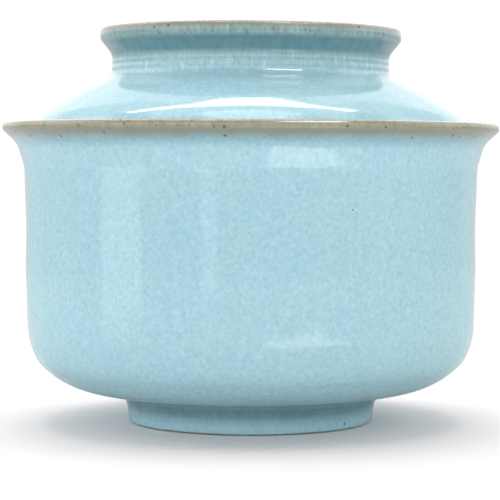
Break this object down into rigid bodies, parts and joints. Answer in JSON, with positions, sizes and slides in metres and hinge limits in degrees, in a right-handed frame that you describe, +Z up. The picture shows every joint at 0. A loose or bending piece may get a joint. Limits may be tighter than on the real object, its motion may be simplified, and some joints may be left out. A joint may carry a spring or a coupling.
{
  "type": "lidded rice bowl",
  "caption": "Straight-sided rice bowl with a flared lip and low foot ring, closed by a domed lid that lifts off by the ring handle on its top.",
  "frame": {"origin": "centre of the foot ring, at the level of the table it stands on", "axes": "+Z up along the axis that both pieces are turned around; -Y towards the side shown as the front"},
  "size_m": [0.1402, 0.1402, 0.1115],
  "materials": {
    "bowl_glaze": "glossy",
    "lid_glaze": "glossy"
  },
  "bodies": {
    "bowl": {"bowl": "bowl_glaze"},
    "lid": {"lid": "lid_glaze"}
  },
  "joints": [
    {"name": "lid_lift", "type": "slide", "parent": "bowl", "child": "lid", "axis": [0, 0, 1], "range_m": [0, 0.1]}
  ]
}
